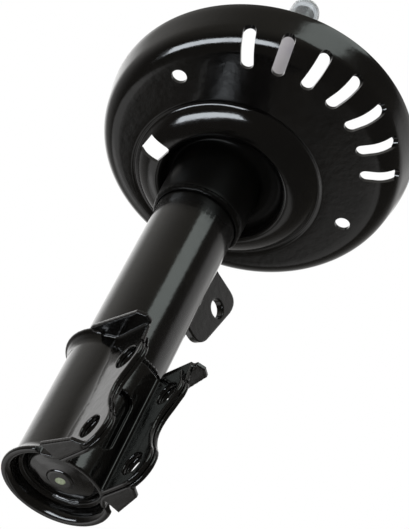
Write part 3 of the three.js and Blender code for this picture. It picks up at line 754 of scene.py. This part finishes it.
def make_clamp_weld(name, out, height, half_turn, middle, size, steps, seed):
    """A bead on the tube's side, out from its face, half_turn to either side of middle."""
    line = arc(0, 0, TUBE_RADIUS + out, middle - half_turn, middle + half_turn, steps)
    weld = bead(f"{name}_skin", [(x, y, height) for x, y in line], size, 2.3, seed)
    dress(weld, PAINT_WELD, "black_paint", BODY, name)


def make_clamp_welds():
    upper_height, web_height = CLAMP_HEIGHT - 1.5, INNER_CLAMP_TOP + 2
    make_clamp_weld("clamp_weld_upper", 1.7, upper_height, 0.45 * math.pi, math.pi, 1.45, 120, 1.0)
    make_clamp_weld("clamp_weld_web", 1.9, web_height, 0.42, 0.0, 1.7, 60, 2.0)


# ---- spring seat ----
def plane_height(x, y):
    dx, dy = x - DISH_CENTRE.x, y - DISH_CENTRE.y
    return DISH_CENTRE.z - (SEAT_TILT.x * dx + SEAT_TILT.y * dy) / SEAT_TILT.z


def smooth_between(t, before, here, after, later):
    """A value between here and after, on a smooth curve through all four."""
    slope = after - before
    bend = 2 * before - 5 * here + 4 * after - later
    twist = 3 * here - before - 3 * after + later
    return 0.5 * (2 * here + slope * t + bend * t * t + twist * t**3)


def seat_stations():
    """The pan's lower face from the collar out to the rim, as rows of radius, centre X,
    centre Y, height above the tilted plane and how much of the tilt applies."""
    dish = (DISH_CENTRE.x, DISH_CENTRE.y)
    axis, ring = (0.0, 0.0), tuple(RING_CENTRE)
    near, half_way, far = (tuple(RING_CENTRE * share) for share in (0.15, 0.5, 0.9))
    drop = COLLAR_BOTTOM - plane_height(0, 0)
    knots = [
        (28.4, *axis, drop, 0), (28.5, *axis, drop + 9, 0.2),
        (28.6, *axis, -19, 0.5), (28.7, *axis, -10, 0.9),
        (28.9, *axis, -6.6, 1), (29.6, *near, -4, 1), (31.6, *half_way, -2, 1), (34, *far, -1.5, 1),
        (36.4, *ring, -2.7, 1), (38, *ring, -5.1, 1), (39.2, *ring, -7.2, 1), (40.6, *ring, -8.3, 1),
        (42.5, *ring, -8.5, 1), (45, *ring, -8.0, 1), (48, *ring, -6.95, 1), (51, *ring, -5.45, 1),
        (53.6, *ring, -3.75, 1), (55.6, *ring, -1.9, 1), (57, *ring, -0.3, 1), (58.1, *ring, 0.5, 1),
        (59.3, *ring, 0.55, 1), (60.6, *ring, 0.1, 1), (62, *ring, 0, 1), (63.4, *ring, 0, 1),
    ]
    rows = []
    for k in range(len(knots) - 2):
        four = (knots[max(k - 1, 0)], knots[k], knots[k + 1], knots[k + 2])
        rows += [[smooth_between(i / 6, *column) for column in zip(*four)] for i in range(6)]
    rows.append(list(knots[-2]))
    flat_start = rows[-1]
    for i in range(1, 5):
        t = i / 5
        rows.append([a + (b - a) * t for a, b in zip(flat_start, (DISH_FLAT_RADIUS, *dish, 0, 1))])
    for i in range(15):
        angle = DISH_WALL_ANGLE * i / 14
        out = DISH_FLAT_RADIUS + DISH_BEND_RADIUS * math.sin(angle)
        rows.append([out, *dish, DISH_BEND_RADIUS * (1 - math.cos(angle)), 1])
    last = rows[-1]
    rise = DISH_HEIGHT - last[3]
    for i in range(1, 5):
        t = i / 4
        rows.append([last[0] + t * rise / math.tan(DISH_WALL_ANGLE), *dish, last[3] + t * rise, 1])
    return rows


def station_point(row, turn):
    radius, cx, cy, height, tilt = row
    x, y = cx + radius * math.cos(turn), cy + radius * math.sin(turn)
    level = plane_height(0, 0)
    return Vector((x, y, level + (plane_height(x, y) - level) * tilt + height))


def seat_section(rows, turn):
    """The sheet's closed section at a turn: its lower face, round the rim, its upper face."""
    lower = [station_point(row, turn) for row in rows]
    around = Vector((-math.sin(turn), math.cos(turn), 0))
    last = len(lower) - 1
    stations = []
    for k, point in enumerate(lower):
        along = (lower[min(k + 1, last)] - lower[max(k - 1, 0)]).normalized()
        ease = SEAT_EDGE_EASE if k in (0, last) else 0
        stations.append((point, along.cross(around).normalized(), ease))
    section = [point + up * ease for point, up, ease in stations]
    end_point, end_up, _ = stations[-1]
    half = SEAT_SHEET / 2
    middle = end_point + end_up * half
    for i in range(1, 8):
        t = math.pi * i / 8
        section.append(middle - end_up * half * math.cos(t) * 0.8 + along * 0.7 * math.sin(t))
    section += [point + up * (SEAT_SHEET - ease) for point, up, ease in reversed(stations)]
    return section


def ring_loft(name, sections):
    """A closed piece from sections that go right round the axis."""
    count = len(sections[0])
    points = [p for section in sections for p in section]
    faces = []
    for i in range(len(sections)):
        j = (i + 1) % len(sections)
        for k in range(count):
            m = (k + 1) % count
            faces.append((i * count + k, j * count + k, j * count + m, i * count + m))
    return new_piece(name, points, faces)


def dish_matrix():
    """From the dish's own axes, with its base plane at height 0, to the part's."""
    forward = (Vector((1, 0, 0)) - SEAT_TILT * SEAT_TILT.x).normalized()
    left = SEAT_TILT.cross(forward)
    return basis_matrix(forward, left, SEAT_TILT, DISH_CENTRE)


def seat_tool(outline):
    """A punch along the dish's axis, from an outline in the dish's X and Y."""
    place = dish_matrix()
    loops = [[place @ Vector((x, y, z)) for x, y in outline] for z in (-20.0, 26.0)]
    return loft("tool", loops)


def spin(outline, angle):
    c, s = math.cos(angle), math.sin(angle)
    return [(x * c - y * s, x * s + y * c) for x, y in outline]


def slot_tools(turn):
    """The punch for a slot's run on the base plane, and the radial one up the wall."""
    half = SLOT_WIDTH / 2
    outline = [(SLOT_BEND_RADIUS, -half), (SLOT_BEND_RADIUS, half)]
    outline += arc(SLOT_INNER_RADIUS + half, 0, half, math.pi / 2, 1.5 * math.pi, 20)
    top = SLOT_TOP - SLOT_TOP_FALL * max(0.0, turn - SLOT_FALL_START)
    window = [(-half, -9.0), (half, -9.0), *arc(0, top - half, half, 0, math.pi, 20)]
    place = dish_matrix() @ Matrix.Rotation(turn, 4, "Z")
    loops = [
        [place @ Vector((out, across, height)) for across, height in window]
        for out in (SLOT_BEND_RADIUS - 4.5, SLOT_BEND_RADIUS + 22)
    ]
    return [seat_tool(spin(outline, turn)), loft("wall_window", loops)]


def skewed_hole():
    """The outline of the pan's four-cornered, skewed hole. Its inner corner is rounded."""
    start = (-26.6, -42)
    corner = curve(start, (-25.6, -38.8), (-29, -38.4), 8)
    return [(-47.1, -48.5), (-31.3, -52.2), start, *corner, (-40.3, -37.5)]


def make_spring_seat():
    segments = 300
    rows = seat_stations()
    sections = [seat_section(rows, 2 * math.pi * i / segments) for i in range(segments)]
    pan = ring_loft("spring_seat_skin", sections)
    tools = [tool for turn in SLOT_AZIMUTHS for tool in slot_tools(turn)]
    for turn in SEAT_HOLE_AZIMUTHS:
        x, y = SEAT_HOLE_OUT * math.cos(turn), SEAT_HOLE_OUT * math.sin(turn)
        tools.append(seat_tool(circle(x, y, SEAT_HOLE_RADIUS, 48)))
    tools.append(seat_tool(skewed_hole()))
    carve(pan, *tools)
    return dress(shade(pan, 32, weighted=False), PAINT_WITH_HUB_SHADE, "black_paint", BODY, "spring_seat")


def make_seat_weld():
    def lumpy(radius, _height, turn):
        lump = noise.noise(Vector((5 * math.cos(turn), 5 * math.sin(turn), 8.3)))
        ripple = math.sin(turn * 47 + 3 * lump)
        return radius + max(radius - TUBE_RADIUS - GAP, 0) * 0.12 * (1.8 * lump + 0.25 * ripple)

    low, top = COLLAR_BOTTOM - 3.6, COLLAR_BOTTOM - GAP
    pairs = [
        (TUBE_RADIUS + GAP, low), (TUBE_RADIUS + 1.5, low + 0.2), (TUBE_RADIUS + 2.7, low + 1.5),
        (TUBE_RADIUS + 2.9, top), (TUBE_RADIUS + GAP, top),
    ]
    weld = revolve("seat_weld_skin", rounded(pairs, 0.7, 3), 401, lumpy)
    return dress(shade(weld, 50), PAINT_WITH_HUB_SHADE, "black_paint", BODY, "seat_weld")


# ---- brake hose tab ----
def make_hose_tab():
    root = TUBE_RADIUS + 0.9
    outline = [(root, 153), (33, 151.6), (39, 151)]
    outline += curve(outline[-1], (46.5, 151.2), (49.6, 159))
    outline += [(57.4, 190)]
    outline += curve(outline[-1], (59, 201), (50, 201.4))
    outline += [(root, 202)]
    plate = prism("plate", outline, -TAB_THICKNESS / 2, TAB_THICKNESS / 2, upright=False)
    hole = circle(TAB_HOLE_OUT, TAB_HOLE_HEIGHT, TAB_HOLE_RADIUS, 64)
    carve(plate, prism("hole", hole, -20, 20, upright=False))
    tab = fuse("hose_tab_skin", [plate], 0.45, 6)
    tab.data.transform(Matrix.Rotation(TAB_AZIMUTH, 4, "Z"))
    dress(tab, PAINT_PRESSED, "black_paint", BODY, "hose_tab")
    x = (TUBE_RADIUS + 2.2) * math.cos(TAB_AZIMUTH)
    y = (TUBE_RADIUS + 2.2) * math.sin(TAB_AZIMUTH)
    for name, low, high, seed in TAB_WELDS:
        path = [(x, y, low + (high - low) * i / 24) for i in range(25)]
        weld = bead(f"tab_weld_{name}_skin", path, 1.7, 1.6, seed)
        dress(weld, PAINT_WELD, "black_paint", BODY, f"tab_weld_{name}")


# ---- rod and its cap ----
def make_rod():
    def threaded(radius, height, turn):
        if not ROD_SHOULDER + 1.5 < height < ROD_TOP - 1.6 or radius < THREAD_RADIUS - 0.4:
            return radius
        phase = (height / THREAD_PITCH - turn / (2 * math.pi)) % 1.0
        return radius - 0.85 * abs(2 * phase - 1)

    spigot = [(0, 124), (5, 124), (6, 125), (6, PISTON_SEAT)]
    pairs = [*spigot, (ROD_RADIUS - 0.6, PISTON_SEAT), (ROD_RADIUS, PISTON_SEAT + 0.6)]
    pairs += [(ROD_RADIUS, ROD_SHOULDER - 1.2), (ROD_RADIUS - 1.0, ROD_SHOULDER)]
    pairs += [(6.2, ROD_SHOULDER), (6.2, ROD_SHOULDER + 1.4)]
    steps = 110
    for i in range(steps + 1):
        pairs.append((THREAD_RADIUS, ROD_SHOULDER + 1.6 + (ROD_TOP - 3.2 - ROD_SHOULDER) * i / steps))
    pairs += [(THREAD_RADIUS - 1.3, ROD_TOP), (3.2, ROD_TOP), (3.0, ROD_TOP - 4), (0, ROD_TOP - 5)]
    rod = revolve("piston_rod_skin", pairs, 96, threaded)
    shade(rod, 40, weighted=False)
    dress(rod, CHROME, "chrome_rod", ROD, "piston_rod")
    rod.data.materials.append(THREAD_STEEL)
    edge = to_frame((0, 0, ROD_SHOULDER + 0.2)).z
    for face in rod.data.polygons:
        if face.center.z > edge:
            face.material_index = 1


def make_rod_end_cap():
    """A domed shell: its outer line runs up to the axis and its inner one back down."""
    turns = [math.pi / 2 * i / 14 for i in range(14)]
    outer = [(END_CAP_RADIUS * math.cos(a), END_CAP_DOME + END_CAP_RADIUS * math.sin(a)) for a in turns]
    inner = [(END_CAP_BORE * math.cos(a), END_CAP_DOME + END_CAP_BORE * math.sin(a)) for a in turns[::-1]]
    mouth, step = 7.3, END_CAP_BOTTOM + 4
    pairs = [(mouth, END_CAP_BOTTOM), (END_CAP_RADIUS, END_CAP_BOTTOM), *outer]
    pairs += [(0, END_CAP_DOME + END_CAP_RADIUS), (0, END_CAP_DOME + END_CAP_BORE)]
    pairs += [*inner, (END_CAP_BORE, step), (mouth, step)]
    cap = revolve("rod_end_cap_skin", pairs, 96)
    return dress(shade(cap, 50), CLEAR, "clear_cap", ROD, "rod_end_cap")


# ---- finishes of the CAD's own pieces, and the build ----
for node_name, node in frame["nodes"].items():
    finish_name = next(s["material_slot"] for s in frame["record"]["subparts"] if s["node"] == node_name)
    node.data.materials.clear()
    node.data.materials.append(SLOT_MATERIALS[finish_name])

make_tube()
make_base_cap()
make_base_weld()
make_bump_plate()
make_clamp_outer()
make_clamp_inner()
make_clamp_welds()
make_spring_seat()
make_seat_weld()
make_hose_tab()
make_rod()
make_rod_end_cap()


# ---- floor, light and camera ----
def make_floor():
    mesh = bpy.data.meshes.new("floor")
    signs = ((-1, -1), (1, -1), (1, 1), (-1, 1))
    corners = [(x * FLOOR_HALF, y * FLOOR_HALF, FLOOR_LEVEL) for x, y in signs]
    mesh.from_pydata(corners, [], [(0, 1, 2, 3)])
    floor = bpy.data.objects.new("floor", mesh)
    bpy.context.scene.collection.objects.link(floor)
    n = Nodes("pale_floor")
    pale = n.mix(n.noise(6, 3, 0.5), tint(0.86, 0.86, 0.87), tint(0.90, 0.90, 0.90))
    n.link(pale, n.shader.inputs["Base Color"])
    n.set(roughness=0.7)
    mesh.materials.append(n.material)
    floor.visible_glossy = False


def make_camera():
    ahead = (CAMERA_TARGET - CAMERA_PLACE).normalized()
    right = ahead.cross(Vector((0, 0, 1))).normalized()
    up = right.cross(ahead)
    up = up * math.cos(CAMERA_ROLL) + right * math.sin(CAMERA_ROLL)
    right = ahead.cross(up)
    data = bpy.data.cameras.new("camera")
    data.lens, data.sensor_width = CAMERA_LENS, 36.0
    data.clip_start, data.clip_end = 0.05, 20.0
    camera = bpy.data.objects.new("camera", data)
    camera.matrix_world = basis_matrix(right, up, -ahead, CAMERA_PLACE)
    bpy.context.scene.collection.objects.link(camera)
    bpy.context.scene.camera = camera
    return right, up, -ahead


class Studio:
    """The surroundings that the gloss reflects, built up from soft patches of light.
    Directions are given along the camera's right, its up, and back towards it."""

    def __init__(self, right, up, back):
        self.basis = (right, up, back)
        world = bpy.data.worlds.new("studio")
        bpy.context.scene.world = world
        world.use_nodes = True
        self.tree = world.node_tree
        self.tree.nodes.clear()
        self.direction = self.add("ShaderNodeTexCoord").outputs["Generated"]
        self.total = None

    def add(self, kind, **values):
        node = self.tree.nodes.new(kind)
        for key, value in values.items():
            setattr(node, key, value)
        return node

    def along(self, vector):
        node = self.add("ShaderNodeVectorMath", operation="DOT_PRODUCT")
        node.inputs[1].default_value = vector
        self.tree.links.new(self.direction, node.inputs[0])
        return node.outputs["Value"]

    def math(self, operation, *values):
        node = self.add("ShaderNodeMath", operation=operation)
        for socket, value in zip(node.inputs, values):
            if isinstance(value, (int, float)):
                socket.default_value = value
            else:
                self.tree.links.new(value, socket)
        return node.outputs[0]

    def fall(self, value, start, end, low, high):
        node = self.add("ShaderNodeMapRange", interpolation_type="SMOOTHSTEP")
        for key, number in (("From Min", start), ("From Max", end), ("To Min", low), ("To Max", high)):
            node.inputs[key].default_value = number
        self.tree.links.new(value, node.inputs["Value"])
        return node.outputs["Result"]

    def aim(self, x, y, z):
        right, up, back = self.basis
        return (right * x + up * y + back * z).normalized()

    def glow(self, strength, colour):
        scaled = self.add("ShaderNodeVectorMath", operation="SCALE")
        scaled.inputs[0].default_value = colour
        self.tree.links.new(strength, scaled.inputs["Scale"])
        if self.total is None:
            self.total = scaled.outputs["Vector"]
            return
        both = self.add("ShaderNodeVectorMath", operation="ADD")
        self.tree.links.new(self.total, both.inputs[0])
        self.tree.links.new(scaled.outputs["Vector"], both.inputs[1])
        self.total = both.outputs["Vector"]

    def patch(self, toward, inner, outer, strength, colour=(1, 1, 1)):
        """A round patch, full to the inner angle and gone at the outer one, in degrees."""
        facing = self.along(self.aim(*toward))
        edge, middle = math.cos(math.radians(outer)), math.cos(math.radians(inner))
        self.glow(self.fall(facing, edge, middle, 0.0, strength), colour)

    def softbox(self, toward, wide, high, soft, strength, colour):
        """A rectangular light: half its width and height as tangents, and a soft edge."""
        ahead = self.aim(*toward)
        side = self.basis[1].cross(ahead).normalized()
        rise = ahead.cross(side)
        depth = self.math("MAXIMUM", self.along(ahead), 0.02)
        inside = None
        for axis, half in ((side, wide), (rise, high)):
            offset = self.math("ABSOLUTE", self.math("DIVIDE", self.along(axis), depth))
            kept = self.fall(offset, half - soft, half + soft, 1.0, 0.0)
            inside = kept if inside is None else self.math("MULTIPLY", inside, kept)
        self.glow(self.math("MULTIPLY", inside, strength), colour)

    def finish(self, base):
        """Joins it up: white to look at, the studio in reflections."""
        whole = self.add("ShaderNodeVectorMath", operation="ADD")
        whole.inputs[1].default_value = base
        self.tree.links.new(self.total, whole.inputs[0])
        studio, seen = self.add("ShaderNodeBackground"), self.add("ShaderNodeBackground")
        self.tree.links.new(whole.outputs["Vector"], studio.inputs["Color"])
        seen.inputs["Color"].default_value = (1, 1, 1, 1)
        pick = self.add("ShaderNodeMixShader")
        rays = self.add("ShaderNodeLightPath")
        self.tree.links.new(rays.outputs["Is Camera Ray"], pick.inputs["Fac"])
        self.tree.links.new(studio.outputs[0], pick.inputs[1])
        self.tree.links.new(seen.outputs[0], pick.inputs[2])
        self.tree.links.new(pick.outputs[0], self.add("ShaderNodeOutputWorld").inputs["Surface"])


def make_world(right, up, back):
    studio = Studio(right, up, back)
    warm, cool, green = (1.0, 0.95, 0.82), (0.88, 0.94, 1.0), (0.90, 1.0, 0.97)
    studio.patch((-0.25, 0.10, -0.96), 8, 42, 0.75)
    studio.patch((-0.20, 0.25, -0.95), 25, 95, 0.34)
    studio.patch((-0.10, 0.98, 0.10), 30, 75, 0.12, warm)
    studio.patch((0.80, -0.08, -0.60), 14, 30, 0.32)
    studio.patch((-0.64, -0.76, 0.03), 12, 19, 0.50)
    studio.patch((-0.10, -0.99, 0.03), 8, 15, 0.34)
    studio.patch((-0.60, -0.76, -0.25), 6, 15, 0.35)
    studio.softbox((-0.56, -0.10, 0.82), 0.50, 0.15, 0.03, 9.0, cool)
    studio.softbox((0.60, 0.72, 0.30), 0.46, 0.22, 0.04, 1.5, green)
    studio.finish((0.070, 0.065, 0.057))


make_floor()
make_world(*make_camera())
bpy.context.scene.view_settings.view_transform = "Standard"
